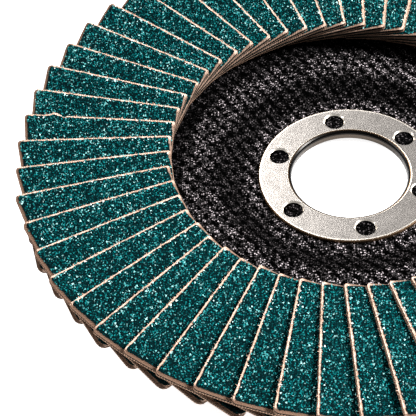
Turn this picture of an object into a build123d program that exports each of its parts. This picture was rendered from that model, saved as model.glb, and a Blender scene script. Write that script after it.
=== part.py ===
from build123d import *
import os
from math import asin, cos, degrees, pi, radians, sin, tan

# Flap disc with a depressed centre, in millimetres.
# The axis of rotation is Z, the flaps face +Z, and the flat back of the hub lies on Z = 0.
# Each flap leads with its clockwise edge, seen from +Z: that edge lies on top of the flap before it,
# and the flap slopes down from there to its trailing edge, which is bedded in adhesive.

# Whole disc
disc_radius = 63.5  # to the leading outer corners of the flaps

# Centre ring: sheet metal, pressed, with a collar drawn down round the arbor hole
arbor_hole_radius = 11.1125
ring_width = 6.4
ring_thickness = 0.7
ring_edge_bevel = 0.15
collar_depth = 1.75
collar_bend_slack = 0.1  # how far the bend reaches beyond the thickness of the sheet
bend_runs = 4
resin_hole_count = 6
resin_hole_radius = 1.85
resin_hole_bevel = 0.3
resin_hole_phase = 35.9
stud_clearance = 0.05
stud_height = 0.4

# Backing plate: woven glass and resin, moulded in one thickness round the hub, the step and the rim
plate_thickness = 2.0
flap_overhang = 9.0  # how far the flaps reach past the plate
plate_lift = 2.3  # height of the rim's top above the ring's seat
step_inset = 3.5  # flat between the ring and the start of the step
step_slope = 28.0
step_bend_radius = 3.0
collar_clearance = 0.3
plate_edge_round = 0.5

# Flaps: abrasive cloth, one fan of equal pieces
flap_count = 55
flap_thickness = 1.0
flap_width = 16.5  # from the leading edge to the trailing edge
flap_length = 29.5  # along the leading edge
flap_slack = 0.1  # room between neighbouring flaps at their inner ends, where they lie closest
flap_lead = 3.85  # turn of the leading edge from the radius through its outer corner
flap_rise = 1.0  # slope of the leading edge up towards the rim
flap_end_skew = 9.6  # slant of the trimmed outer end from square, as far as the bend in it
flap_end_bend = 8.0  # width over which the outer end is slanted
flap_lead_trim = 0.6  # off the outer corner of the leading edge
flap_trail_trim = 1.2  # off the outer corner of the trailing edge
flap_phase = 134.6

# Adhesive bed
bed_thickness = 0.8  # under the lowest corner of a flap
bed_inset = 1.7  # bare plate under the inner ends of the flaps
bed_margin = 0.5  # bare rim of the plate round the bed
flap_sink = 0.35  # how deep the trailing edges are pressed into the bed

# Levels, radii and pitches that follow
ring_seat = plate_thickness
ring_face = ring_seat + ring_thickness
ring_radius = arbor_hole_radius + ring_width
resin_hole_pitch_radius = (arbor_hole_radius + ring_radius) / 2
plate_top = ring_seat + plate_lift
plate_radius = disc_radius - flap_overhang
step_start_radius = ring_radius + step_inset
flap_pitch = 360 / flap_count
flap_inner_radius = disc_radius - flap_length
flap_tilt = degrees(asin((flap_thickness + flap_slack) / (2 * pi * flap_inner_radius / flap_count)))
flap_drop = flap_width * sin(radians(flap_tilt)) + flap_thickness * cos(radians(flap_tilt))
flap_top = plate_top + bed_thickness + flap_drop + flap_length * sin(radians(flap_rise))
flap_end_inset = flap_end_bend * tan(radians(flap_end_skew))


def flap_plane(turn: float) -> Plane:
    """Grit face of the flap whose outer leading corner stands at an angle: X runs out, Y back and down."""
    corner = Rotation(0, 0, turn) * Pos(disc_radius, 0, flap_top)
    edge = Rotation(0, 0, flap_lead) * Rotation(0, -flap_rise, 0)
    return Plane(corner * edge * Rotation(-flap_tilt, 0, 0))


def foot(distance: float) -> tuple[float, float]:
    """Radius and height of a flap's trailing foot, at a distance inwards from the outer corner."""
    point = flap_plane(0).from_local_coords((-distance, flap_width, -flap_thickness))
    return Vector(point.X, point.Y).length, point.Z


# Centre ring, with the bend into the collar in equal runs
with BuildPart() as centre_ring:
    bend_reach = ring_thickness + collar_bend_slack
    bend_turns = [radians(90 * run / bend_runs) for run in range(bend_runs + 1)]
    bend = [
        (arbor_hole_radius + bend_reach * (1 - cos(turn)), ring_face - bend_reach * (1 - sin(turn)))
        for turn in bend_turns
    ]
    with BuildSketch(Plane.XZ) as ring_section:
        with BuildLine():
            Polyline(
                *bend,
                (ring_radius, ring_face),
                (ring_radius, ring_seat),
                (arbor_hole_radius + ring_thickness, ring_seat),
                (arbor_hole_radius + ring_thickness, ring_face - collar_depth),
                (arbor_hole_radius, ring_face - collar_depth),
                close=True,
            )
        make_face()
        chamfer(ring_section.vertices().group_by(Axis.Y)[-1].sort_by(Axis.X)[-1], ring_edge_bevel)
    revolve(axis=Axis.Z)
    with BuildSketch(Plane.XY.offset(ring_face)):
        with PolarLocations(resin_hole_pitch_radius, resin_hole_count, start_angle=resin_hole_phase):
            Circle(resin_hole_radius)
    extrude(amount=-ring_thickness, mode=Mode.SUBTRACT)
    hole_rims = centre_ring.edges().filter_by(GeomType.CIRCLE).filter_by(
        lambda edge: abs(edge.radius - resin_hole_radius) < resin_hole_bevel
    )
    chamfer(hole_rims.group_by(Axis.Z)[-1], resin_hole_bevel)
centre_ring.part.label = "centre_ring"

# Backing plate, with the studs of resin that fill the holes of the ring and lock it
with BuildPart() as backing_plate:
    step_end_radius = step_start_radius + plate_lift / tan(radians(step_slope))
    step_shift = plate_thickness * tan(radians(step_slope / 2))
    plate_hole_radius = arbor_hole_radius + ring_thickness + collar_clearance
    with BuildSketch(Plane.XZ) as plate_section:
        with BuildLine():
            Polyline(
                (plate_hole_radius, 0),
                (plate_hole_radius, ring_seat),
                (step_start_radius, ring_seat),
                (step_end_radius, plate_top),
                (plate_radius, plate_top),
                (plate_radius, plate_top - plate_thickness),
                (step_end_radius + step_shift, plate_top - plate_thickness),
                (step_start_radius + step_shift, 0),
                close=True,
            )
        make_face()
        outer_corners = plate_section.vertices().group_by(Axis.X)[-1]
        step_corners = plate_section.vertices().filter_by_position(
            Axis.X, step_start_radius, step_end_radius + step_shift
        ).sort_by(Axis.X)
        fillet(step_corners[0], step_bend_radius)
        fillet(step_corners[-1], step_bend_radius)
        fillet(step_corners[1:-1], step_bend_radius + plate_thickness)
        fillet(outer_corners, plate_edge_round)
    revolve(axis=Axis.Z)
    with BuildSketch(Plane.XY.offset(ring_seat)):
        with PolarLocations(resin_hole_pitch_radius, resin_hole_count, start_angle=resin_hole_phase):
            Circle(resin_hole_radius - stud_clearance)
    extrude(amount=stud_height)
backing_plate.part.label = "backing_plate"

# Flaps
flaps = []
for number in range(1, flap_count + 1):
    with BuildPart() as flap:
        with BuildSketch(flap_plane(flap_phase + number * flap_pitch)) as flap_outline:
            with BuildLine():
                Polyline(
                    (0, 0),
                    (-flap_end_inset, flap_end_bend),
                    (-flap_end_inset, flap_width),
                    (-flap_length, flap_width),
                    (-flap_length, 0),
                    close=True,
                )
            make_face()
            chamfer(flap_outline.vertices().group_by(Axis.X)[-1], flap_lead_trim)
            chamfer(flap_outline.vertices().group_by(Axis.Y)[-1].sort_by(Axis.X)[-1], flap_trail_trim)
        extrude(amount=-flap_thickness)
    flap.part.label = f"flap_{number:02d}"
    flaps.append(flap.part)

# Adhesive bed, with the pockets that the trailing edges of the flaps have pressed in it
with BuildPart() as adhesive_bed:
    bed_outer_radius = plate_radius - bed_margin
    inner_foot_radius, inner_foot_height = foot(flap_length)
    outer_foot_radius, outer_foot_height = foot(flap_end_inset)
    bed_inner_radius = inner_foot_radius + bed_inset
    bed_slope = (outer_foot_height - inner_foot_height) / (outer_foot_radius - inner_foot_radius)
    with BuildSketch(Plane.XZ):
        with BuildLine():
            Polyline(
                (bed_inner_radius, plate_top),
                (bed_outer_radius, plate_top),
                (
                    bed_outer_radius,
                    outer_foot_height + flap_sink - bed_slope * (outer_foot_radius - bed_outer_radius),
                ),
                (
                    bed_inner_radius,
                    inner_foot_height + flap_sink + bed_slope * (bed_inner_radius - inner_foot_radius),
                ),
                close=True,
            )
        make_face()
    revolve(axis=Axis.Z)
    add(flaps, mode=Mode.SUBTRACT)
adhesive_bed.part.label = "adhesive_bed"

os.makedirs("parts", exist_ok=True)
for piece in [centre_ring.part, backing_plate.part, adhesive_bed.part, *flaps]:
    export_step(piece, f"parts/{piece.label}.step")
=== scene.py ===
import logging
import math
from dataclasses import dataclass
from enum import Enum
from typing import Mapping, Sequence

import bpy
import numpy as np
from mathutils import Matrix, Vector, noise


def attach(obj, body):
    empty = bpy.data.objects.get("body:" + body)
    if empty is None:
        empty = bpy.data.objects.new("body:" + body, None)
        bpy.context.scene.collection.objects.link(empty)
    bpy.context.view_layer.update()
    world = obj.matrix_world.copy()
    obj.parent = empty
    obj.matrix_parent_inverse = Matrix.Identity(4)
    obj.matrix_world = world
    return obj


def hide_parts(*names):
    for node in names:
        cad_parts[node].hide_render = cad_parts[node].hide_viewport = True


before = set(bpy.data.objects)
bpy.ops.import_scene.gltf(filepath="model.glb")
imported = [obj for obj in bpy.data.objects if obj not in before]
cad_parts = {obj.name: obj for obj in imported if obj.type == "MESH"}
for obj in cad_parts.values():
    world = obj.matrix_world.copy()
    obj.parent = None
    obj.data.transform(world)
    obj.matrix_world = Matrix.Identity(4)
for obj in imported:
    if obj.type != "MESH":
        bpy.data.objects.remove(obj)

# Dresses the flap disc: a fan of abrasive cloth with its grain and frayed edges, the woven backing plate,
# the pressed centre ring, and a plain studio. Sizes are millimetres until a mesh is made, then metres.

MM = 0.001
LOG = logging.getLogger("flap_disc")
Point = tuple[float, float, float]
Colour = tuple[float, float, float, float]

Spot = tuple[float, float]  # radius and height on a section that is turned round the axis
Edge = tuple[float, float]  # where a change starts and where it is full
Band = tuple[float, float, float, float]  # where a mask starts, is full, fades and ends
Wander = tuple[float, float]  # size of a smooth random stray in millimetres, and its waves to a millimetre
Shape = tuple[np.ndarray, list[tuple[int, ...]], np.ndarray]  # corners, faces and crown heights


class Term:
    """A number that varies over a surface, for use in Python arithmetic."""

    def __init__(self, nodes: "NodeWork", socket: bpy.types.NodeSocket) -> None:
        """Wraps a socket.

        Args:
            nodes: the tree that new nodes are added to.
            socket: the output that gives the number.
        """
        self.nodes = nodes
        self.socket = socket

    def _maths(self, operation: str, *values: "Term | float") -> "Term":
        """Adds one Math node.

        Args:
            operation: the Math node's operation.
            values: its operands, in order.

        Returns:
            The result.
        """
        node = self.nodes.add("ShaderNodeMath", {"operation": operation}, dict(enumerate(values)))
        return Term(self.nodes, node.outputs[0])

    def __add__(self, other: "Term | float") -> "Term":
        """Adds."""
        return self._maths("ADD", self, other)

    __radd__ = __add__

    def __sub__(self, other: "Term | float") -> "Term":
        """Subtracts another value from this one."""
        return self._maths("SUBTRACT", self, other)

    def __rsub__(self, other: float) -> "Term":
        """Subtracts this value from a number."""
        return self._maths("SUBTRACT", other, self)

    def __mul__(self, other: "Term | float") -> "Term":
        """Multiplies."""
        return self._maths("MULTIPLY", self, other)

    __rmul__ = __mul__

    def __pow__(self, other: "Term | float") -> "Term":
        """Raises to a power."""
        return self._maths("POWER", self, other)

    def __neg__(self) -> "Term":
        """Changes the sign."""
        return self._maths("MULTIPLY", self, -1.0)

    def sine(self) -> "Term":
        """Sine of an angle in radians."""
        return self._maths("SINE", self)

    def cosine(self) -> "Term":
        """Cosine of an angle in radians."""
        return self._maths("COSINE", self)

    def least(self, other: "Term | float") -> "Term":
        """The smaller of two values."""
        return self._maths("MINIMUM", self, other)

    def most(self, other: "Term | float") -> "Term":
        """The larger of two values."""
        return self._maths("MAXIMUM", self, other)

    def step(self, low: float, high: float) -> "Term":
        """Climbs smoothly from 0 at low to 1 at high.

        Args:
            low: where the climb starts.
            high: where the climb ends. It may be less than low.

        Returns:
            The eased value.
        """
        kind = {"interpolation_type": "SMOOTHSTEP"}
        ends = {"From Min": min(low, high), "From Max": max(low, high), "To Min": 0.0, "To Max": 1.0}
        node = self.nodes.add("ShaderNodeMapRange", kind, {"Value": self, **ends})
        eased = Term(self.nodes, node.outputs[0])
        return eased if high > low else 1 - eased

    def band(self, start: float, full: float, fade: float, end: float) -> "Term":
        """Is 1 from full to fade, and eases to 0 on both sides.

        Args:
            start: where the climb starts.
            full: where the climb ends.
            fade: where the fall starts.
            end: where the fall ends.

        Returns:
            The eased value.
        """
        return self.step(start, full) * self.step(end, fade)


class NodeWork:
    """Adds nodes to a shader tree or a geometry tree."""

    def __init__(self, tree: bpy.types.NodeTree) -> None:
        """Keeps the tree and empties it.

        Args:
            tree: the tree to build in.
        """
        self.tree = tree
        tree.nodes.clear()

    def add(
        self,
        kind: str,
        settings: Mapping[str, object] | None = None,
        inputs: Mapping[int | str, object] | None = None,
    ) -> bpy.types.Node:
        """Adds a node.

        Args:
            kind: the node's type.
            settings: its settings, set first. "stops" gives a ramp its positions and colours.
            inputs: values or links of its sockets, by name or number.

        Returns:
            The node.
        """
        node = self.tree.nodes.new(kind)
        for name, value in (settings or {}).items():
            if name == "stops":
                ramp = node.color_ramp.elements
                while len(ramp) < len(value):
                    ramp.new(0.5)
                for stop, (place, colour) in zip(ramp, value):
                    stop.position, stop.color = place, colour
            else:
                setattr(node, name, value)
        for key, value in (inputs or {}).items():
            if isinstance(key, int):
                socket = node.inputs[key]
            else:
                socket = next(s for s in node.inputs if s.name == key and s.enabled)
            if isinstance(value, Term):
                value = value.socket
            if isinstance(value, bpy.types.NodeSocket):
                self.tree.links.new(value, socket)
            else:
                socket.default_value = value
        return node

    def out(self, node: bpy.types.Node, name: str | int = 0) -> bpy.types.NodeSocket:
        """The named or numbered output that is in use.

        Args:
            node: the node.
            name: the output's name, or its number among those in use.

        Returns:
            The socket.
        """
        live = [socket for socket in node.outputs if socket.enabled]
        if isinstance(name, int):
            return live[name]
        return next(socket for socket in live if socket.name == name)

    def number(self, node: bpy.types.Node, name: str | int = 0) -> Term:
        """An output as a number for arithmetic."""
        return Term(self, self.out(node, name))


class Shading(NodeWork):
    """A material's nodes, with the patterns that the finishes share."""

    def __init__(self, name: str) -> None:
        """Makes an empty material.

        Args:
            name: the material's name.
        """
        self.material = bpy.data.materials.new(name)
        self.material.use_nodes = True
        super().__init__(self.material.node_tree)

    def place(self, scale: float = 1.0) -> bpy.types.NodeSocket:
        """The point on the piece, in units of 1/scale mm.

        Args:
            scale: how many units go into a millimetre.

        Returns:
            The vector socket.
        """
        at = self.out(self.add("ShaderNodeTexCoord"), "Object")
        factors = (scale / MM,) * 3
        return self.out(self.add("ShaderNodeVectorMath", {"operation": "MULTIPLY"}, {0: at, 1: factors}))

    def axes(self, vector: bpy.types.NodeSocket) -> tuple[Term, Term, Term]:
        """Splits a vector into numbers."""
        split = self.add("ShaderNodeSeparateXYZ", None, {0: vector})
        return self.number(split, "X"), self.number(split, "Y"), self.number(split, "Z")

    def round_place(self) -> tuple[Term, Term]:
        """The distance from the disc's axis and the height, in millimetres."""
        x, y, z = self.axes(self.place())
        return (x * x + y * y) ** 0.5, z

    def attribute(self, name: str) -> bpy.types.Node:
        """Reads a mesh attribute."""
        return self.add("ShaderNodeAttribute", {"attribute_name": name})

    def noise(self, scale: float, detail: float = 2.0) -> Term:
        """Soft noise from 0 to 1.

        Args:
            scale: features in a millimetre.
            detail: octaves.

        Returns:
            The noise.
        """
        inputs = {"Vector": self.place(scale), "Scale": 1.0, "Detail": detail}
        return self.number(self.add("ShaderNodeTexNoise", None, inputs))

    def cells(self, scale: float) -> tuple[Term, Term]:
        """Packed grains.

        Args:
            scale: grains in a millimetre.

        Returns:
            The distance from each grain's middle, and one random number for each grain.
        """
        node = self.add("ShaderNodeTexVoronoi", None, {"Vector": self.place(scale), "Scale": 1.0})
        lot = self.axes(self.out(node, "Color"))[0]
        return self.number(node, "Distance"), lot

    def blend(self, share: Term | float, first: object, second: object) -> bpy.types.NodeSocket:
        """Mixes two colours.

        Args:
            share: how much of the second shows.
            first: a colour or a colour socket.
            second: a colour or a colour socket.

        Returns:
            The colour socket.
        """
        node = self.add("ShaderNodeMix", {"data_type": "RGBA"}, {"Factor": share, "A": first, "B": second})
        return self.out(node)

    def ramp(self, value: Term, stops: Sequence[tuple[float, Colour]]) -> bpy.types.NodeSocket:
        """Colours a value by stops."""
        node = self.add("ShaderNodeValToRGB", {"stops": stops}, {"Fac": value})
        return self.out(node, "Color")

    def relief(self, height: Term, depth: float, strength: float = 1.0) -> bpy.types.NodeSocket:
        """A bumped normal.

        Args:
            height: the relief, about 0 to 1.
            depth: its depth in millimetres.
            strength: how strongly it shows.

        Returns:
            The normal socket.
        """
        inputs = {"Strength": strength, "Distance": depth * MM, "Height": height}
        return self.out(self.add("ShaderNodeBump", None, inputs))

    def surface(self, **inputs: object) -> bpy.types.Material:
        """Ends the material in one shader.

        Args:
            inputs: the shader's sockets, with underscores for spaces.

        Returns:
            The material.
        """
        values = {name.replace("_", " "): value for name, value in inputs.items()}
        shader = self.add("ShaderNodeBsdfPrincipled", None, values)
        self.add("ShaderNodeOutputMaterial", None, {"Surface": shader.outputs[0]})
        return self.material


@dataclass(frozen=True)
class ClothFinish:
    """Coated cloth: grain bed on the face, peach where the coat is bare, brown threads on the cut ends, and a
    band of dark grit and painted shadow high on them.

    A place on a flap is its distance out along the leading edge, back from it, and up from the face.
    Patterns are sized in features to a millimetre.
    """

    length: float
    end_slope: float
    end_bend: float
    bed: Colour = (0.0012, 0.007, 0.008, 1)
    bed_light: Colour = (0.0015, 0.045, 0.048, 1)
    bare: Colour = (0.74, 0.57, 0.48, 1)
    bare_dark: Colour = (0.44, 0.29, 0.21, 1)
    end: Colour = (0.155, 0.092, 0.062, 1)
    thread: Colour = (0.31, 0.20, 0.14, 1)
    thread_dark: Colour = (0.085, 0.052, 0.038, 1)
    thread_pitch: float = 0.42
    ragged_scale: float = 2.6
    blotch_scale: float = 0.35
    bed_scale: float = 2.7
    fluff_scale: float = 5.0
    coat_edge: Edge = (-0.22, -0.16)
    coat_stray: float = 0.22
    end_edge: Edge = (0.95, 0.60)
    end_stray: float = 0.3
    inner_back: Edge = (0.3, 1.3)
    inner_soil: float = 0.80
    inner_shade: float = 0.30
    face_edge: Edge = (-0.42, -0.34)
    face_stray: float = 0.06
    # A dark band high on the cut ends: the coat's dark grit and painted shadow of the gap under the flap
    # above, reaching lower towards the inner end.
    grit_shadow_top: Edge = (-0.32, -0.36)
    grit_shadow_foot: Edge = (-0.70, -0.60)
    grit_shadow_back: Edge = (0.05, 0.2)
    grit_shadow_stray: float = 0.2
    grit_shadow_growth: float = 0.16
    grit_shadow_share: float = 0.96
    underside: Edge = (-0.85, -0.95)

    def material(self) -> bpy.types.Material:
        """Builds the material.

        Returns:
            The material.
        """
        work = Shading("abrasive_cloth")
        along, back, level = work.axes(work.out(work.attribute("cloth_at"), "Vector"))
        ragged = work.noise(self.ragged_scale)
        stray = ragged - 0.5
        reach, lot = work.cells(self.bed_scale)
        grain = work.blend(lot.step(0.35, 1.0) * reach.step(0.55, 0.1), self.bed, self.bed_light)

        turn = math.tau / self.thread_pitch
        rows = ((along + back) * turn + ragged * 3.0).sine() * 0.5 + 0.5
        weave = (along * turn).sine() * (back * turn).sine() * 0.5 + 0.5
        under = level.step(*self.underside)
        yarn = rows * (1 - under) + weave * under

        start, full = self.end_edge
        outward = along + back.least(self.end_bend) * self.end_slope + stray * self.end_stray
        outer = outward.step(-start, -full)
        inward = (along + stray * self.end_stray).step(start - self.length, full - self.length)
        inner = inward * back.step(*self.inner_back)

        blotch = work.noise(self.blotch_scale, 3.0)
        clean = work.blend((ragged * 0.7 + blotch * 0.5).step(0.35, 0.75), self.bare, self.bare_dark)
        stripe = (back * turn * 1.6 + ragged * 2.0).sine() * 0.30 + 0.35 + ragged * 0.7
        soiled = work.blend(stripe, self.thread_dark, self.end)
        bare = work.blend(outer.most(inner * self.inner_soil), clean, soiled)

        # Painted shadow and dark grit in a band high on the cut ends, reaching lower towards the inner end.
        depth = level + stray * self.grit_shadow_stray + inner * self.grit_shadow_growth
        grit_and_gap_shadow = level.step(*self.grit_shadow_top) * depth.step(*self.grit_shadow_foot) * back.step(*self.grit_shadow_back)
        cut = work.blend((yarn * 0.85 + ragged * 0.35).step(0.30, 0.80), self.thread_dark, self.thread)
        cut = work.blend(inner * self.inner_shade, cut, self.thread_dark)
        cut = work.blend(grit_and_gap_shadow * self.grit_shadow_share, cut, self.bed)

        coat = (level + stray * self.coat_stray).step(*self.coat_edge)
        face = (level + stray * self.face_stray).step(*self.face_edge)
        height = coat * (1 - reach) + (1 - coat) * (yarn * 0.6 + work.noise(self.fluff_scale) * 0.6)
        return work.surface(
            Base_Color=work.blend(coat, work.blend(face, cut, bare), grain),
            Roughness=0.88 - coat * 0.4,
            Specular_IOR_Level=0.0,
            Normal=work.relief(height, 0.14, 0.9),
        )


@dataclass(frozen=True)
class GrainFinish:
    """Loose-looking abrasive grains in blue-green resin, with a painted highlight along the leading edge and
    painted glints on the whitest grains.
    """

    stops: tuple[tuple[float, Colour], ...] = (
        (0.0, (0.0004, 0.008, 0.009, 1)),
        (0.18, (0.001, 0.062, 0.066, 1)),
        (0.54, (0.005, 0.155, 0.16, 1)),
        (0.79, (0.09, 0.33, 0.33, 1)),
        # The near-white top stops paint glints on a share of the grains.
        (0.92, (0.50, 0.78, 0.76, 1)),
        (1.0, (0.95, 0.99, 0.97, 1)),
    )
    patch_scale: float = 0.25
    facet_scale: float = 4.5
    highlight_back: Edge = (1.3, 0.3)
    painted_edge_highlight: float = 0.16

    def material(self) -> bpy.types.Material:
        """Builds the material.

        Returns:
            The material.
        """
        work = Shading("abrasive_grain")
        tone = work.number(work.attribute("grain_tone"), "Fac")
        patch = work.noise(self.patch_scale) - 0.5
        facet = work.noise(self.facet_scale, 1.0)
        back = work.axes(work.out(work.attribute("cloth_at"), "Vector"))[1]
        # Painted highlight: grains lighter close behind the raised leading edge, where it catches the light.
        edge_highlight = back.step(*self.highlight_back) * self.painted_edge_highlight
        return work.surface(
            Base_Color=work.ramp(tone * 0.86 + (facet - 0.5) * 0.35 + patch * 0.18 + edge_highlight, self.stops),
            Roughness=(tone * -0.25 + 0.52) + (facet - 0.5) * 0.3,
            Specular_IOR_Level=0.02,
            Normal=work.relief(facet, 0.05, 0.5),
        )


@dataclass(frozen=True)
class FibreFinish:
    """Loose ends of the cloth's yarn."""

    light: Colour = (0.84, 0.60, 0.46, 1)
    dark: Colour = (0.42, 0.24, 0.16, 1)
    stain_scale: float = 3.0
    twist_scale: float = 9.0

    def material(self) -> bpy.types.Material:
        """Builds the material.

        Returns:
            The material.
        """
        work = Shading("cloth_yarn")
        tone = work.number(work.attribute("grain_tone"), "Fac")
        return work.surface(
            Base_Color=work.blend(tone * 0.7 + work.noise(self.stain_scale) * 0.3, self.light, self.dark),
            Roughness=0.9,
            Normal=work.relief(work.noise(self.twist_scale), 0.03, 0.5),
        )


@dataclass(frozen=True)
class PlateFinish:
    """Glass cloth set in black resin with dark grooves, and painted glints where glass and grit break the
    surface.

    On the slope of the step and on the ground close under the fan, painted shade leaves fewer glints and
    darker strands.
    """

    resin: Colour = (0.0004, 0.0004, 0.0004, 1)
    strand: Colour = (0.060, 0.055, 0.056, 1)
    # Painted glint colour, standing for light caught by glass and grit.
    painted_glint: Colour = (0.66, 0.58, 0.60, 1)
    glint_share: float = 0.40
    glint_scale: float = 2.9
    patch_scale: float = 0.16
    strand_scale: float = 3.4
    grit_scale: float = 3.0
    # Painted shade on the step's slope, which catches no glints, and on the ground beside the fan.
    slope_band: Band = (19.5, 21.5, 25.0, 27.5)
    slope_painted_shade: float = 0.8
    fan_radius: Edge = (30.8, 33.2)
    fan_level: Edge = (3.0, 3.6)
    fan_painted_shade: float = 0.85

    def material(self) -> bpy.types.Material:
        """Builds the material.

        Returns:
            The material.
        """
        work = Shading("glass_cloth_resin")
        crown = work.number(work.attribute("crown"), "Fac")
        radius, height = work.round_place()
        # Painted shade: fewer glints and darker strands on the step's slope and close under the fan.
        beside_fan = radius.step(*self.fan_radius) * height.step(*self.fan_level)
        slope = radius.band(*self.slope_band)
        painted_light_share = (1 - slope * self.slope_painted_shade) * (1 - beside_fan * self.fan_painted_shade)

        # Painted glints: white specks where glass and grit break the surface, only on strand crowns.
        reach, lot = work.cells(self.glint_scale)
        patch = work.noise(self.patch_scale).step(0.15, 0.5)
        grain = lot.step(self.glint_share, 1.0) * reach.step(0.50, 0.20)
        painted_glint_mask = grain * crown.step(0.30, 0.75) * patch * painted_light_share
        fine = work.noise(self.strand_scale).step(0.50, 0.74)
        shown = crown.step(0.30, 0.85) * fine * (0.15 + 0.85 * painted_light_share)
        grit = work.noise(self.grit_scale, 3.0)
        return work.surface(
            Base_Color=work.blend(painted_glint_mask, work.blend(shown, self.resin, self.strand), self.painted_glint),
            Roughness=0.50 - painted_glint_mask * 0.25 + (grit - 0.5) * 0.4,
            Specular_IOR_Level=0.0,
            Normal=work.relief(grit * 0.8 + (1 - reach) * 0.6, 0.28, 0.8),
        )


@dataclass(frozen=True)
class AdhesiveFinish:
    """Set adhesive, dark and a little glossy."""

    deep: Colour = (0.018, 0.012, 0.010, 1)
    thin: Colour = (0.085, 0.055, 0.040, 1)
    flow_scale: float = 0.6
    gloss_scale: float = 1.8

    def material(self) -> bpy.types.Material:
        """Builds the material.

        Returns:
            The material.
        """
        work = Shading("set_adhesive")
        flow = work.noise(self.flow_scale, 3.0)
        return work.surface(
            Base_Color=work.blend(flow, self.deep, self.thin),
            Roughness=0.30 + work.noise(self.gloss_scale) * 0.25,
            Normal=work.relief(flow, 0.3, 0.5),
        )


@dataclass(frozen=True)
class RingFinish:
    """Bead-blasted sheet metal with a golden cut edge, painted highlights on its edges, a painted dark
    reflection in the bend, and painted shade in the holes, by the bend and down the bore.

    Edges of the rim are counted from the outside, those of the bend from the wall of the bore, and those
    of the holes up from the face.
    """

    outer_radius: float
    bore_radius: float
    face_level: float
    face: Colour = (0.445, 0.41, 0.38, 1)
    face_dark: Colour = (0.20, 0.185, 0.17, 1)
    # Painted highlight colour for the rounded outer edge, the bend's lip and the hole bevels.
    rim: Colour = (0.90, 0.83, 0.74, 1)
    edge: Colour = (0.20, 0.125, 0.070, 1)
    # Painted dark: a reflection in the bend by the bore, and shade in the holes.
    dark_reflection_and_shade: Colour = (0.004, 0.0035, 0.003, 1)
    # Painted shade for a line where the face turns into the bend and deep down the bore.
    wall: Colour = (0.045, 0.035, 0.027, 1)
    pit_scale: float = 3.6
    cloud_scale: float = 0.35
    scuff_scale: float = 0.9
    rim_highlight_edge: Edge = (-0.50, -0.36)
    rim_start: Edge = (-0.36, -0.40)
    cut_edge: Edge = (-0.24, -0.16)
    face_start: Edge = (0.98, 1.05)
    groove_band: Band = (0.86, 0.92, 0.96, 1.02)
    groove_shade_share: float = 0.6
    lip_highlight_band: Band = (0.66, 0.74, 0.84, 0.90)
    gold_edge: Edge = (0.76, 0.70)
    dark_reflection_edge: Edge = (0.60, 0.52)
    collar_edge: Edge = (0.6, 0.4)
    collar_level: Edge = (-0.72, -0.82)
    bevel_level: Edge = (-0.01, -0.04)
    hole_level: Edge = (-0.26, -0.30)

    def material(self) -> bpy.types.Material:
        """Builds the material.

        Returns:
            The material.
        """
        work = Shading("blasted_sheet_metal")
        radius, height = work.round_place()
        outside = radius - self.outer_radius
        bend = radius - self.bore_radius
        level = height - self.face_level
        pits = work.noise(self.pit_scale, 3.0)
        cloud = work.noise(self.cloud_scale)
        scuff = work.noise(self.scuff_scale, 4.0)

        flat = bend.step(*self.face_start) * outside.step(*self.rim_start)
        bevel_highlight = level.step(*self.bevel_level) * flat
        hole = level.step(*self.hole_level) * flat
        # Deep down the bore is painted shade.
        collar = level.step(*self.collar_level) * bend.step(*self.collar_edge)
        # Painted highlights on the outer rim, the bend's lip and the hole bevels.
        painted_highlight = outside.step(*self.rim_highlight_edge).most(bend.band(*self.lip_highlight_band)).most(bevel_highlight)
        golden = outside.step(*self.cut_edge).most(bend.step(*self.gold_edge))
        # Painted dark reflection in the bend by the bore and painted shade in the holes.
        dark_reflection_and_shade_mask = bend.step(*self.dark_reflection_edge).most(hole)

        wear = (pits * 0.8 + cloud * 0.35 + scuff * 0.2).step(0.48, 0.96) * 0.8
        colour = work.blend(painted_highlight, work.blend(wear, self.face, self.face_dark), self.rim)
        # Painted shade in a line where the face turns into the bend.
        colour = work.blend(bend.band(*self.groove_band) * self.groove_shade_share, colour, self.wall)
        colour = work.blend(golden, colour, self.edge)
        colour = work.blend(dark_reflection_and_shade_mask, colour, self.dark_reflection_and_shade)
        return work.surface(
            Base_Color=work.blend(collar, colour, self.wall),
            Metallic=0.88,
            Roughness=0.27 + (pits - 0.5) * 0.12,
            Normal=work.relief(pits + scuff * 0.4, 0.05, 0.18),
        )


@dataclass(frozen=True)
class FloorFinish:
    """A plain white sweep."""

    light: Colour = (0.93, 0.93, 0.93, 1)
    shade: Colour = (0.90, 0.90, 0.90, 1)
    cloud_scale: float = 0.002
    glow: float = 0.95

    def material(self) -> bpy.types.Material:
        """Builds the material.

        Returns:
            The material.
        """
        work = Shading("white_sweep")
        colour = work.blend(work.noise(self.cloud_scale, 1.0), self.light, self.shade)
        return work.surface(
            Base_Color=colour, Roughness=0.9, Emission_Color=colour, Emission_Strength=self.glow
        )


def mesh_piece(
    name: str,
    corners: np.ndarray,
    faces: Sequence[Sequence[int]],
    notes: Mapping[str, np.ndarray] | None = None,
    smooth: bool = False,
) -> bpy.types.Object:
    """Makes an object from corners in millimetres.

    Args:
        name: the object's name.
        corners: one row for each corner.
        faces: corner numbers of each face, anticlockwise from outside.
        notes: numbers or vectors kept at the corners, by attribute name.
        smooth: whether faces are shaded smooth.

    Returns:
        The object, linked to the scene.
    """
    mesh = bpy.data.meshes.new(name)
    mesh.from_pydata((corners * MM).tolist(), [], [list(map(int, face)) for face in faces])
    for note, values in (notes or {}).items():
        vector = values.ndim == 2
        layer = mesh.attributes.new(note, "FLOAT_VECTOR" if vector else "FLOAT", "POINT")
        layer.data.foreach_set("vector" if vector else "value", values.astype(float).ravel())
    mesh.polygons.foreach_set("use_smooth", [smooth] * len(mesh.polygons))
    mesh.validate()
    piece = bpy.data.objects.new(name, mesh)
    bpy.context.scene.collection.objects.link(piece)
    return piece


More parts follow.
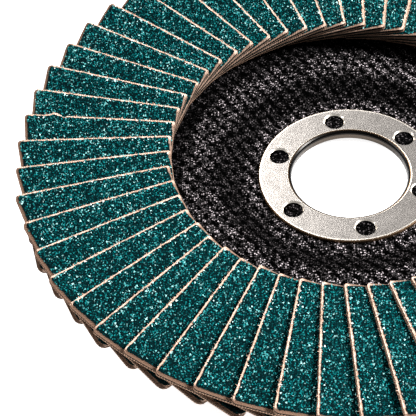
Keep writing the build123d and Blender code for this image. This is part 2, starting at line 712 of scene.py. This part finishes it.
class GeometryWork(NodeWork):
    """A geometry tree with named inputs, run once and turned into a plain mesh."""

    def __init__(self, name: str, inputs: Mapping[str, tuple[str, object]]) -> None:
        """Makes the tree and its inputs.

        Args:
            name: the tree's name.
            inputs: each input's socket type and value, by name.
        """
        super().__init__(bpy.data.node_groups.new(name, "GeometryNodeTree"))
        face = self.tree.interface
        face.new_socket("Geometry", in_out="OUTPUT", socket_type="NodeSocketGeometry")
        face.new_socket("Geometry", in_out="INPUT", socket_type="NodeSocketGeometry")
        self.values: dict[str, object] = {}
        for key, (kind, value) in inputs.items():
            socket = face.new_socket(key, in_out="INPUT", socket_type=kind)
            self.values[socket.identifier] = value
        self.start = self.add("NodeGroupInput")

    def given(self, name: str) -> bpy.types.NodeSocket:
        """One of the tree's inputs."""
        return self.start.outputs[name]

    def term(self, name: str) -> Term:
        """One of the tree's inputs, for arithmetic."""
        return Term(self, self.given(name))

    def draw(self, kind: str, low: object, high: object, seed: object) -> bpy.types.NodeSocket:
        """Draws a random value for each point.

        Args:
            kind: the value's data type.
            low: the least that it can be.
            high: the most that it can be.
            seed: fixes the draw.

        Returns:
            The value's socket.
        """
        inputs = {"Min": low, "Max": high, "Seed": seed}
        return self.out(self.add("FunctionNodeRandomValue", {"data_type": kind}, inputs))

    def lay(self, points: bpy.types.Node, item: str, **inputs: object) -> bpy.types.NodeSocket:
        """Lays an item on every point.

        Args:
            points: the node that gives the points.
            item: the name of the tree's input that holds the item.
            inputs: the turn and the size of each, by socket name.

        Returns:
            The instances.
        """
        own_place = {"transform_space": "ORIGINAL"}
        shape = self.add("GeometryNodeObjectInfo", own_place, {"Object": self.given(item)})
        places = {"Points": points.outputs[0], "Instance": self.out(shape, "Geometry")}
        return self.add("GeometryNodeInstanceOnPoints", None, {**places, **inputs}).outputs[0]

    def finish(self, shape: bpy.types.NodeSocket) -> None:
        """Realises the instances, sets the material and ends the tree.

        Args:
            shape: the geometry to end in.
        """
        solid = self.add("GeometryNodeRealizeInstances", None, {"Geometry": shape})
        skin = {"Geometry": solid.outputs[0], "Material": self.given("Material")}
        dressed = self.add("GeometryNodeSetMaterial", None, skin)
        self.add("NodeGroupOutput", None, {0: dressed.outputs[0]})

    def run(self, name: str, host: bpy.types.Object | None = None) -> bpy.types.Object:
        """Runs the tree on a host and keeps the result as a plain mesh.

        Args:
            name: the new piece's name.
            host: the object whose mesh is the input, or none.

        Returns:
            The new piece.
        """
        start = host.data if host else bpy.data.meshes.new(name)
        carrier = bpy.data.objects.new(f"{name}_work", start)
        bpy.context.scene.collection.objects.link(carrier)
        modifier = carrier.modifiers.new("work", "NODES")
        modifier.node_group = self.tree
        for identifier, value in self.values.items():
            modifier[identifier] = value
        depsgraph = bpy.context.evaluated_depsgraph_get()
        mesh = bpy.data.meshes.new_from_object(
            carrier.evaluated_get(depsgraph), preserve_all_data_layers=True, depsgraph=depsgraph
        )
        carrier.modifiers.remove(modifier)
        bpy.data.objects.remove(carrier)
        mesh.name = name
        piece = bpy.data.objects.new(name, mesh)
        bpy.context.scene.collection.objects.link(piece)
        return piece


class Scatter(Enum):
    """What is strewn over the cloth."""

    GRAIN = "grain"
    FIBRE = "fibre"


@dataclass(frozen=True)
class Strewing:
    """Where and how one kind of piece is strewn: gap in millimetres, density to a square millimetre."""

    zone: str
    gap: float
    density: float
    least_size: float
    most_size: float


STREWINGS = {
    Scatter.GRAIN: Strewing("zone", 0.32, 14.0, 0.62, 1.30),
    Scatter.FIBRE: Strewing("fray", 0.22, 12.0, 0.5, 1.3),
}


@dataclass
class FlapFan:
    """The fan of flaps: cloth, grains and frayed yarn, in sectors of equal size."""

    disc_radius: float = 63.5
    count: int = 55
    sectors: int = 5
    length: float = 29.5
    width: float = 16.5
    thickness: float = 1.0
    tilt: float = 16.455
    lead: float = 3.85
    rise: float = 1.0
    end_skew: float = 9.6
    end_bend: float = 8.0
    corner_round: float = 1.0
    trail_round: float = 1.6
    inner_round: float = 0.5
    phase: float = 134.6
    top: float = 11.247
    reach_spread: Edge = (-0.15, 0.35)
    coat: float = 0.30
    lead_margin: float = 0.44
    end_margin: float = 0.72
    covered_back: Edge = (1.2, 3.6)
    covered_coat: float = 0.50
    edge_wander: Wander = (0.07, 2.3)
    lead_wander: Wander = (0.22, 2.4)
    end_wander: Wander = (0.14, 2.1)
    face_wander: Wander = (0.05, 0.22)
    swell_wander: Wander = (0.05, 3.0)
    swell_share: float = 0.55
    margin_gain: float = 1.6
    margin_start: float = 0.75
    strewn_bare: float = 0.3
    frayed_bare: float = 0.6
    frayed_back: float = 0.5
    shown_share: float = 0.119
    shown_slack: float = 0.4
    lead_rows: tuple[float, ...] = (0, 0.1, 0.2, 0.3, 0.42, 0.6, 0.9, 1.5, 2.3, 3.2, 4.3, 5.5, 6.7, 7.8, 11)
    trail_rows: tuple[float, ...] = (1.6, 1.0, 0.5, 0.15, 0.0)
    end_columns: tuple[float, ...] = (0.0, 0.12, 0.26, 0.42, 0.65)
    column_start: float = 1.05
    column_count: int = 66
    grain_size: float = 0.24
    nicked_flap: int = 5
    nick_place: float = 6.0
    nick_bulge: float = 0.48
    nick_width: float = 1.0
    nick_reach: float = 1.6
    nick_lift: float = 0.3
    tear_depth: float = 0.42
    tear_shift: float = 1.9
    tear_width: float = 0.35

    @property
    def each(self) -> int:
        """How many flaps a sector has."""
        return self.count // self.sectors

    @property
    def end_slope(self) -> float:
        """How much further in the outer end is for each millimetre back."""
        return math.tan(math.radians(self.end_skew))

    def corner_place(self) -> Matrix:
        """Places the flap whose outer corner stands at zero degrees.

        Returns:
            Its place in millimetres, from its own plane.
        """
        return (
            Matrix.Translation((self.disc_radius, 0, self.top))
            @ Matrix.Rotation(math.radians(self.lead), 4, "Z")
            @ Matrix.Rotation(math.radians(-self.rise), 4, "Y")
            @ Matrix.Rotation(math.radians(-self.tilt), 4, "X")
        )

    def round_off(self, radius: float, away: float) -> float:
        """How much a rounded corner takes off an end.

        Args:
            radius: the corner's radius.
            away: the distance from the corner along the end.

        Returns:
            The loss.
        """
        miss = max(0.0, radius - away)
        return radius - math.sqrt(max(0.0, radius**2 - miss**2))

    def outer_end(self, back: float) -> float:
        """Trims and rounds the outer end.

        Args:
            back: the distance back from the leading edge.

        Returns:
            Where the end is there.
        """
        lead_loss = self.round_off(self.corner_round, back)
        trail_loss = self.round_off(self.trail_round, self.width - back)
        return -(min(back, self.end_bend) * self.end_slope + lead_loss + trail_loss)

    def inner_end(self, back: float) -> float:
        """Where the inner end is, with its corner a little worn."""
        return -self.length + self.round_off(self.inner_round, back)

    def rows(self) -> np.ndarray:
        """Distances back from the leading edge, closer near the edges."""
        return np.array([*self.lead_rows, *(self.width - away for away in self.trail_rows)])

    def columns(self) -> np.ndarray:
        """Sets the columns of a flap's mesh, closer near the ends.

        Returns:
            Shares of the way from the inner to the outer end.
        """
        close = np.array(self.end_columns) / self.length
        middle = np.linspace(self.column_start, self.length - self.column_start, self.column_count)
        return np.concatenate([close, middle / self.length, 1 - close[::-1]])

    def wander(self, seed: int, x: float, y: float, size: float, pace: float) -> float:
        """Smooth noise about zero at a point of a flap.

        Args:
            seed: tells one sector's flaps from another's.
            x: the point's place along the leading edge.
            y: its place back from that edge.
            size: about how far the noise reaches.
            pace: its waves to a millimetre.

        Returns:
            The noise, in millimetres.
        """
        return size * noise.noise(Vector((x * pace, y * pace, seed * 7.31)))

    def face_point(self, seed: int, x: float, back: float) -> tuple[Point, float]:
        """One corner of a flap's face.

        Args:
            seed: changes the ragged margins.
            x: its place along the leading edge.
            back: its row's distance back from that edge.

        Returns:
            The corner, and how bare of coat the cloth is there.
        """
        y = back + (self.wander(seed, x, 0, *self.edge_wander) if back == 0 else 0.0)
        to_lead = (y + self.wander(seed, x, y, *self.lead_wander)) / self.lead_margin
        shown, covered = self.covered_back
        kept = min(1.0, max(0.0, (y - shown) / (covered - shown))) * self.covered_coat
        to_inner = (x - self.inner_end(back)) / self.end_margin + kept
        to_outer = (self.outer_end(back) - x) / self.end_margin
        to_ends = min(to_inner, to_outer) + self.wander(seed, x, y + 9, *self.end_wander)
        bare = 1 - min(1.0, max(0.0, min(to_lead, to_ends) * self.margin_gain - self.margin_start))
        z = -self.coat * bare + self.wander(seed, x, y, *self.face_wander) * min(1.0, y)
        return (x, y, z), bare

    def sheet(self, seed: int) -> bpy.types.Object:
        """Makes one flap in its own plane: X out along the leading edge, Y back, Z up from the face.

        Args:
            seed: changes the ragged margins.

        Returns:
            The flap's object.
        """
        place = self.corner_place()
        corners: list[Point] = []
        zone: list[float] = []
        fray: list[float] = []
        for back in self.rows():
            low, high = self.inner_end(back), self.outer_end(back)
            for share in self.columns():
                corner, bare = self.face_point(seed, low + (high - low) * share, back)
                spot = place @ Vector(corner)
                shown = self.shown_share * math.hypot(spot.x, spot.y) + self.shown_slack
                corners.append(corner)
                zone.append(1.0 if bare < self.strewn_bare and back < shown else 0.0)
                fray.append(1.0 if bare > self.frayed_bare and back < self.frayed_back else 0.0)
        wide, deep = len(self.columns()), len(self.rows())
        faces: list[tuple[int, ...]] = [
            (r * wide + c, r * wide + c + 1, (r + 1) * wide + c + 1, (r + 1) * wide + c)
            for r in range(deep - 1)
            for c in range(wide - 1)
        ]
        above = list(range(wide))
        above += [r * wide + wide - 1 for r in range(1, deep)]
        above += [(deep - 1) * wide + c for c in range(wide - 2, -1, -1)]
        above += [r * wide for r in range(deep - 2, 0, -1)]
        rim = [corners[index] for index in above]
        for level, frayed in ((-self.swell_share * self.thickness, True), (-self.thickness, False)):
            below = list(range(len(corners), len(corners) + len(rim)))
            for number, (x, y, _) in enumerate(rim):
                swells = frayed and number < wide
                swell = self.wander(seed, x, y, *self.swell_wander) if swells else 0.0
                corners.append((x, y + swell, level))
                zone.append(0.0)
                fray.append(1.0 if swells else 0.0)
                there = (number + 1) % len(rim)
                faces.append((below[number], below[there], above[there], above[number]))
            above = below
        faces.append(tuple(reversed(above)))
        points = np.array(corners)
        notes = {"cloth_at": points.copy(), "zone": np.array(zone), "fray": np.array(fray)}
        return mesh_piece(f"flap_sheet_{seed}", points, faces, notes)

    def nick(self, flaps: bpy.types.Object, place: int) -> None:
        """Bends up and tears a short run of one flap's leading edge.

        Args:
            flaps: the sector's flaps.
            place: the flap's place in the sector, from nothing.
        """
        mesh = flaps.data
        size = len(mesh.vertices) // self.each
        first = place * size
        lead = mesh.vertices[first].co
        trail = mesh.vertices[first + (len(self.rows()) - 1) * len(self.columns())].co
        ahead = (lead - trail).normalized()
        local = mesh.attributes["cloth_at"].data
        for index in range(first, first + size):
            x, y, _ = local[index].vector
            away = x + self.nick_place
            bulge = self.nick_bulge * math.exp(-((away / self.nick_width) ** 2))
            tear = self.tear_depth * math.exp(-(((away + self.tear_shift) / self.tear_width) ** 2))
            fade = max(0.0, 1 - y / self.nick_reach) * MM
            lift = Vector((0, 0, bulge * fade * self.nick_lift))
            mesh.vertices[index].co += ahead * ((bulge - tear) * fade) + lift

    def fan_work(self, sheet: bpy.types.Object, first: int, skin: bpy.types.Material) -> GeometryWork:
        """Builds the tree that lays a sector's flaps round the disc.

        Args:
            sheet: one flap in its own plane.
            first: the number of the first flap.
            skin: the material.

        Returns:
            The tree.
        """
        pitch = math.tau / self.count
        work = GeometryWork(
            "flap_fan",
            {
                "Flap": ("NodeSocketObject", sheet),
                "Count": ("NodeSocketInt", self.each),
                "First Turn": ("NodeSocketFloat", math.radians(self.phase) + pitch * first),
                "Pitch": ("NodeSocketFloat", pitch),
                "Radius": ("NodeSocketFloat", self.disc_radius * MM),
                "Top": ("NodeSocketFloat", self.top * MM),
                "Lead": ("NodeSocketFloat", math.radians(self.lead)),
                "Rise": ("NodeSocketFloat", math.radians(self.rise)),
                "Tilt": ("NodeSocketFloat", math.radians(self.tilt)),
                "Seed": ("NodeSocketInt", 11 + first),
                "Material": ("NodeSocketMaterial", skin),
            },
        )
        index = work.number(work.add("GeometryNodeInputIndex"))
        turn = work.term("First Turn") + index * work.term("Pitch")
        least, most = self.reach_spread
        stray = work.draw("FLOAT", least * MM, most * MM, work.given("Seed"))
        reach = work.term("Radius") + Term(work, stray)
        spot = work.add(
            "ShaderNodeCombineXYZ",
            None,
            {"X": reach * turn.cosine(), "Y": reach * turn.sine(), "Z": work.term("Top")},
        )
        aim = work.add(
            "ShaderNodeCombineXYZ",
            None,
            {"X": -work.term("Tilt"), "Y": -work.term("Rise"), "Z": turn + work.term("Lead")},
        )
        places = {"Count": work.given("Count"), "Position": spot.outputs[0]}
        points = work.add("GeometryNodePoints", None, places)
        work.finish(work.lay(points, "Flap", Rotation=aim.outputs[0]))
        return work

    def strew_work(
        self, kind: Scatter, item: bpy.types.Object, seed: int, skin: bpy.types.Material
    ) -> GeometryWork:
        """Builds the tree that strews grains or yarn ends over the cloth.

        Args:
            kind: what is strewn.
            item: its mesh.
            seed: fixes where they fall.
            skin: the material.

        Returns:
            The tree.
        """
        way = STREWINGS[kind]
        work = GeometryWork(
            f"strewn_{kind.value}",
            {
                "Item": ("NodeSocketObject", item),
                "Gap": ("NodeSocketFloat", way.gap * MM),
                "Most": ("NodeSocketFloat", way.density / MM**2),
                "Least Size": ("NodeSocketFloat", way.least_size),
                "Most Size": ("NodeSocketFloat", way.most_size),
                "Seed": ("NodeSocketInt", seed),
                "Material": ("NodeSocketMaterial", skin),
            },
        )
        zone = work.add("GeometryNodeInputNamedAttribute", {"data_type": "FLOAT"}, {"Name": way.zone})
        points = work.add(
            "GeometryNodeDistributePointsOnFaces",
            {"distribute_method": "POISSON"},
            {
                "Mesh": work.given("Geometry"),
                "Distance Min": work.given("Gap"),
                "Density Max": work.given("Most"),
                "Density Factor": work.number(zone),
                "Seed": work.given("Seed"),
            },
        )
        spin = work.draw("FLOAT_VECTOR", (0, 0, 0), (math.tau, math.tau, math.tau), work.given("Seed"))
        size = work.draw("FLOAT", work.given("Least Size"), work.given("Most Size"), work.given("Seed"))
        tone = work.draw("FLOAT", 0.0, 1.0, work.term("Seed") + 3)
        laid = work.lay(points, "Item", Rotation=spin, Scale=size)
        toned = work.add(
            "GeometryNodeStoreNamedAttribute",
            {"data_type": "FLOAT", "domain": "INSTANCE"},
            {"Geometry": laid, "Name": "grain_tone", "Value": tone},
        )
        work.finish(toned.outputs[0])
        return work

    def grain(self) -> bpy.types.Object:
        """One sharp grain of four faces."""
        tips = np.array([(1, 0.1, -0.4), (-0.6, 0.8, -0.35), (-0.5, -0.9, -0.4), (0.05, 0.1, 0.95)])
        return mesh_piece("one_grain", tips * self.grain_size, [(0, 1, 3), (1, 2, 3), (2, 0, 3), (2, 1, 0)])

    def yarn_end(self) -> bpy.types.Object:
        """Makes one bent end of yarn with three sides, along a path of places and radii.

        Returns:
            The yarn end's object.
        """
        path = ((0, 0, 0, 0.055), (0.16, 0.02, 0.06, 0.045), (0.34, 0.10, 0.10, 0.02))
        sides = 3
        corners = [
            (x, y + r * math.cos(math.tau * k / sides), z + r * math.sin(math.tau * k / sides))
            for x, y, z, r in path
            for k in range(sides)
        ]
        faces: list[tuple[int, ...]] = []
        for start in range(0, sides * (len(path) - 1), sides):
            for k in range(sides):
                n = (k + 1) % sides
                faces.append((start + k, start + n, start + sides + n, start + sides + k))
        faces += [(2, 1, 0), (6, 7, 8)]
        return mesh_piece("one_yarn_end", np.array(corners), faces)

    def build(self) -> None:
        """Makes the sectors of flaps, their grains and their frayed yarn."""
        cloth = ClothFinish(self.length, self.end_slope, self.end_bend).material()
        skins = {Scatter.GRAIN: GrainFinish().material(), Scatter.FIBRE: FibreFinish().material()}
        items = {Scatter.GRAIN: self.grain(), Scatter.FIBRE: self.yarn_end()}
        for sector in range(self.sectors):
            first = sector * self.each + 1
            last = first + self.each - 1
            span = f"{first:02d}_to_{last:02d}"
            sheet = self.sheet(sector)
            flaps = self.fan_work(sheet, first, cloth).run(f"flaps_{span}")
            if first <= self.nicked_flap <= last:
                self.nick(flaps, self.nicked_flap - first)
            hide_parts(*[f"flap_{number:02d}" for number in range(first, last + 1)])
            report(flaps)
            for kind in Scatter:
                strewn = self.strew_work(kind, items[kind], 5 + sector, skins[kind])
                report(strewn.run(f"{kind.value}_{span}", flaps))
            bpy.data.objects.remove(sheet)
        for item in items.values():
            bpy.data.objects.remove(item)


def report(piece: bpy.types.Object) -> None:
    """Puts a finished piece on the body and logs it.

    Args:
        piece: the piece.
    """
    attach(piece, "root")
    triangles = sum(len(face.vertices) - 2 for face in piece.data.polygons)
    LOG.info("%s: %d triangles", piece.name, triangles)


@dataclass
class BackingPlate:
    """The plate of woven glass and resin, with its relief, and the studs that lock the ring."""

    hole_radius: float = 12.1125
    seat: float = 2.0
    step_start: float = 21.0125
    step_slope: float = 28.0
    step_bend: float = 3.0
    lift: float = 2.3
    radius: float = 54.5
    edge_round: float = 0.5
    arc_steps: int = 6
    ring_radius: float = 17.6
    ease: float = 0.5
    strand_pitch: float = 2.4
    strand_turn: float = 34.0
    strand_bow: float = 0.06
    warp_half: float = 0.43
    warp_rise: tuple[float, float] = (0.75, 0.25)
    weft_half: float = 0.42
    weft_rise: tuple[float, float] = (0.50, 0.22)
    relief: float = 0.16
    round_steps: int = 530
    shown_radius: float = 41.0
    shown_pace: float = 0.33
    covered_pace: float = 2.2
    under_pace: float = 0.75
    stud_count: int = 6
    stud_radius: float = 1.8
    stud_pitch_radius: float = 14.306
    stud_phase: float = 35.9
    stud_top: float = 2.3
    stud_sides: int = 24
    stud_rings: int = 5
    stud_lump: float = 0.16
    stud_dome: float = 0.12
    # A low crown keeps the studs' painted glints and strand colour few.
    stud_crown: float = 0.42

    def rounded(self, points: Sequence[Spot], radii: Sequence[float]) -> list[Spot]:
        """Rounds the corners of a closed outline.

        Args:
            points: the outline's corners.
            radii: one radius for each corner, or nothing where it stays sharp.

        Returns:
            The outline with its arcs as short runs.
        """
        result: list[Spot] = []
        for index, (point, radius) in enumerate(zip(points, radii)):
            here = Vector(point)
            if not radius:
                result.append(tuple(here))
                continue
            before = (Vector(points[index - 1]) - here).normalized()
            after = (Vector(points[(index + 1) % len(points)]) - here).normalized()
            half = before.angle(after) / 2
            reach = radius / math.tan(half)
            middle = here + (before + after).normalized() * (radius / math.sin(half))
            start, end = here + before * reach - middle, here + after * reach - middle
            for step in range(self.arc_steps + 1):
                share = step / self.arc_steps
                arm = (start * (1 - share) + end * share).normalized() * radius
                result.append(tuple(middle + arm))
        return result

    def split(self, here: Spot, there: Spot, stride: float) -> list[Spot]:
        """Splits a straight run into even steps.

        Args:
            here: where it starts.
            there: where it ends.
            stride: about how long a step is.

        Returns:
            The points, without the last.
        """
        steps = max(1, round(math.dist(here, there) / stride))
        (r, z), (far_r, far_z) = here, there
        return [(r + (far_r - r) * k / steps, z + (far_z - z) * k / steps) for k in range(steps)]

    def outline(self) -> list[Spot]:
        """Draws the plate's section, in short runs where it shows.

        Returns:
            The closed outline, anticlockwise.
        """
        slope = math.radians(self.step_slope)
        step_end = self.step_start + self.lift / math.tan(slope)
        shift = self.seat * math.tan(slope / 2)
        rim = self.seat + self.lift
        corners = [
            (self.hole_radius, 0.0),
            (self.step_start + shift, 0.0),
            (step_end + shift, rim - self.seat),
            (self.radius, rim - self.seat),
            (self.radius, rim),
            (step_end, rim),
            (self.step_start, self.seat),
            (self.hole_radius, self.seat),
        ]
        wide = self.step_bend + self.seat
        radii = [0.0, wide, self.step_bend, self.edge_round, self.edge_round, wide, self.step_bend, 0.0]
        coarse = self.rounded(corners, radii)
        fine: list[Spot] = []
        for here, there in zip(coarse, [*coarse[1:], coarse[0]]):
            upper = (here[1] + there[1]) / 2 > self.seat - 0.1 and here[0] >= there[0]
            if not upper:
                fine += self.split(here, there, self.under_pace)
            elif here[0] <= self.shown_radius:
                fine += self.split(here, there, self.shown_pace)
            elif there[0] >= self.shown_radius:
                fine += self.split(here, there, self.covered_pace)
            else:
                cut = (self.shown_radius, here[1])
                fine += self.split(here, cut, self.covered_pace)
                fine += self.split(cut, there, self.shown_pace)
        return fine

    def crown(self, x: np.ndarray, y: np.ndarray) -> np.ndarray:
        """Height of the woven strands, from 0 in the grooves to 1 on the crowns.

        Args:
            x: places across the plate.
            y: places across the plate.

        Returns:
            The heights.
        """
        turn = math.radians(self.strand_turn)
        u = (x * math.cos(turn) + y * math.sin(turn)) / self.strand_pitch
        v = (-x * math.sin(turn) + y * math.cos(turn)) / self.strand_pitch
        u = u + self.strand_bow * np.sin(v * 1.3)
        v = v + self.strand_bow * np.sin(u * 1.7)
        side = np.where((np.floor(u) + np.floor(v)) % 2 == 0, 1.0, -1.0)
        fu, fv = u - np.floor(u) - 0.5, v - np.floor(v) - 0.5
        warp = np.sqrt(np.clip(1 - (fu / self.warp_half) ** 2, 0, 1))
        weft = np.sqrt(np.clip(1 - (fv / self.weft_half) ** 2, 0, 1))
        warp_level, warp_swing = self.warp_rise
        weft_level, weft_swing = self.weft_rise
        warp *= warp_level + warp_swing * side * np.cos(np.pi * fv)
        weft *= weft_level - weft_swing * side * np.cos(np.pi * fu)
        return np.maximum(warp, weft)

    def body(self) -> Shape:
        """The plate itself: its section swept round the axis, with the weave pressed into its flats.

        Returns:
            Corners, faces and crown heights.
        """
        section = np.array(self.outline())
        radius, height = section[:, :1], section[:, 1:]
        along = np.roll(section, -1, axis=0) - np.roll(section, 1, axis=0)
        normal = np.stack([along[:, 1], -along[:, 0]], axis=1)
        normal /= np.linalg.norm(normal, axis=1)[:, None]
        angles = np.arange(self.round_steps) * math.tau / self.round_steps
        crown = self.crown(radius * np.cos(angles), radius * np.sin(angles))
        flat = np.abs(normal[:, 1:]) ** 4
        beside_hole = np.clip((radius - self.hole_radius) / self.ease, 0, 1)
        on_seat = (height > self.seat - 0.01) & (height < self.seat + 0.05)
        beside_ring = np.where(on_seat, np.clip((radius - self.ring_radius) / self.ease, 0, 1), 1.0)
        lower = (crown - 1) * (self.relief * flat * beside_hole * beside_ring)
        pressed = radius + normal[:, :1] * lower
        corners = [pressed * np.cos(angles), pressed * np.sin(angles), height + normal[:, 1:] * lower]
        cols = self.round_steps
        faces: list[tuple[int, ...]] = []
        for row in range(len(section)):
            here, there = row * cols, (row + 1) % len(section) * cols
            for c in range(cols):
                n = (c + 1) % cols
                faces.append((here + n, there + n, there + c, here + c))
        return np.stack(corners, axis=2).reshape(-1, 3), faces, crown.reshape(-1)

    def stud(self, number: int) -> Shape:
        """One stud of resin with a lumpy top.

        Args:
            number: which stud, from nothing.

        Returns:
            Corners, faces and crown heights.
        """
        turn = math.radians(self.stud_phase + 360 * number / self.stud_count)
        middle = (self.stud_pitch_radius * math.cos(turn), self.stud_pitch_radius * math.sin(turn))
        around, rings = self.stud_sides, self.stud_rings
        corners: list[Point] = []
        for ring in range(rings):
            share = 1 - ring / rings
            for k in range(around):
                angle = math.tau * k / around
                x = self.stud_radius * share * math.cos(angle)
                y = self.stud_radius * share * math.sin(angle)
                lump = self.stud_lump * noise.noise(Vector((x * 1.3, y * 1.3, number * 3.7)))
                level = self.stud_top + (lump - self.stud_dome * share**2)
                corners.append((middle[0] + x, middle[1] + y, level))
        corners.append((middle[0], middle[1], self.stud_top))
        foot = len(corners)
        corners += [(x, y, self.seat - 0.05) for x, y, _ in corners[:around]]
        faces: list[tuple[int, ...]] = []
        for k in range(around):
            n = (k + 1) % around
            faces.append((foot + k, foot + n, n, k))
            for a in range(0, (rings - 1) * around, around):
                faces.append((a + k, a + n, a + around + n, a + around + k))
            faces.append(((rings - 1) * around + k, (rings - 1) * around + n, foot - 1))
        faces.append(tuple(foot + k for k in reversed(range(around))))
        return np.array(corners), faces, np.full(len(corners), self.stud_crown)

    def build(self) -> None:
        """Makes the plate and the studs as one piece."""
        points: list[np.ndarray] = []
        faces: list[tuple[int, ...]] = []
        crowns: list[np.ndarray] = []
        for block in (self.body(), *(self.stud(number) for number in range(self.stud_count))):
            first = sum(len(earlier) for earlier in points)
            points.append(block[0])
            faces += [tuple(first + index for index in face) for face in block[1]]
            crowns.append(block[2])
        notes = {"crown": np.concatenate(crowns)}
        plate = mesh_piece("woven_plate", np.concatenate(points), faces, notes, True)
        plate.data.materials.append(PlateFinish().material())
        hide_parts("backing_plate")
        report(plate)


@dataclass
class CentreRing:
    """The pressed ring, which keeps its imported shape."""

    outer_radius: float = 17.5125
    bore_radius: float = 11.1125
    face_level: float = 2.7

    def build(self) -> None:
        """Dresses the ring."""
        dress("centre_ring", RingFinish(self.outer_radius, self.bore_radius, self.face_level).material())


@dataclass
class AdhesiveBed:
    """The hidden ring of adhesive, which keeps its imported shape."""

    finish: AdhesiveFinish = AdhesiveFinish()

    def build(self) -> None:
        """Dresses the bed."""
        dress("adhesive_bed", self.finish.material())


def dress(node: str, skin: bpy.types.Material) -> None:
    """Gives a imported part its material.

    Args:
        node: the part's name.
        skin: the material.
    """
    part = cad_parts[node]
    part.data.materials.clear()
    part.data.materials.append(skin)
    LOG.info("%s: dressed as %s", node, skin.name)


@dataclass(frozen=True)
class Lamp:
    """A soft square lamp that faces the disc: its place and its side in metres, its power in watts."""

    name: str
    place: Point
    size: float
    power: float

    def hang(self) -> None:
        """Adds the lamp to the scene."""
        data = bpy.data.lights.new(self.name, "AREA")
        data.size, data.energy = self.size, self.power
        lamp = bpy.data.objects.new(self.name, data)
        bpy.context.scene.collection.objects.link(lamp)
        lamp.location = self.place
        lamp.rotation_euler = (-Vector(self.place)).to_track_quat("-Z", "Y").to_euler()


@dataclass
class Studio:
    """Camera, white sweep and soft lights."""

    elevation: float = 0.8279
    roll: float = -0.0709
    distance: float = 320.4
    focal_pixels: float = 1667.3
    frame_pixels: float = 416.0
    target_pixel: tuple[float, float] = (349.54, 172.6)
    target_height: float = 2.7
    sensor: float = 36.0
    floor_reach: float = 6000.0
    floor_level: float = -0.05
    air_light: float = 0.20
    lamps: tuple[Lamp, ...] = (
        Lamp("key_light", (0.64, -0.02, 0.60), 0.20, 25.0),
        Lamp("gloss_light", (-0.20, 0.65, 0.62), 0.36, 4.4),
        Lamp("side_light", (-0.60, 0.20, 0.55), 0.35, 4.2),
    )

    def camera(self) -> None:
        """Places the camera so that the ring's centre falls on its pixel."""
        ahead = Vector((0, math.cos(self.elevation), -math.sin(self.elevation)))
        side = Vector((1, 0, 0))
        up = side.cross(ahead)
        right = side * math.cos(self.roll) + up * math.sin(self.roll)
        top = side * -math.sin(self.roll) + up * math.cos(self.roll)
        half = self.frame_pixels / 2
        across = (self.target_pixel[0] - half) / self.focal_pixels
        down = (self.target_pixel[1] - half) / self.focal_pixels
        sight = ahead + right * across - top * down
        eye = (Vector((0, 0, self.target_height)) - sight * self.distance) * MM
        turn = Matrix((right, top, -ahead)).transposed().to_4x4()
        data = bpy.data.cameras.new("studio_camera")
        data.sensor_width = self.sensor
        data.lens = self.focal_pixels / self.frame_pixels * self.sensor
        data.clip_start = 0.01
        camera = bpy.data.objects.new("studio_camera", data)
        bpy.context.scene.collection.objects.link(camera)
        camera.matrix_world = Matrix.Translation(eye) @ turn
        bpy.context.scene.camera = camera

    def floor(self) -> None:
        """Adds the white sweep."""
        sides = [(-1, -1), (1, -1), (1, 1), (-1, 1)]
        corners = [(x * self.floor_reach, y * self.floor_reach, self.floor_level) for x, y in sides]
        sweep = mesh_piece("white_sweep", np.array(corners), [(0, 1, 2, 3)])
        sweep.data.materials.append(FloorFinish().material())

    def build(self) -> None:
        """Makes the whole studio."""
        self.camera()
        self.floor()
        for lamp in self.lamps:
            lamp.hang()
        world = bpy.data.worlds.new("studio_air")
        world.use_nodes = True
        work = NodeWork(world.node_tree)
        air = work.add("ShaderNodeBackground", None, {"Color": (1, 1, 1, 1), "Strength": self.air_light})
        work.add("ShaderNodeOutputWorld", None, {"Surface": air.outputs[0]})
        bpy.context.scene.world = world
        bpy.context.scene.view_settings.view_transform = "Standard"


def main() -> None:
    """Builds and dresses the disc, then the studio, and notes the sizes."""
    logging.basicConfig(level=logging.INFO, format="%(name)s: %(message)s")
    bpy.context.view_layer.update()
    FlapFan().build()
    BackingPlate().build()
    CentreRing().build()
    AdhesiveBed().build()
    Studio().build()


if __name__ == "__main__":
    main()
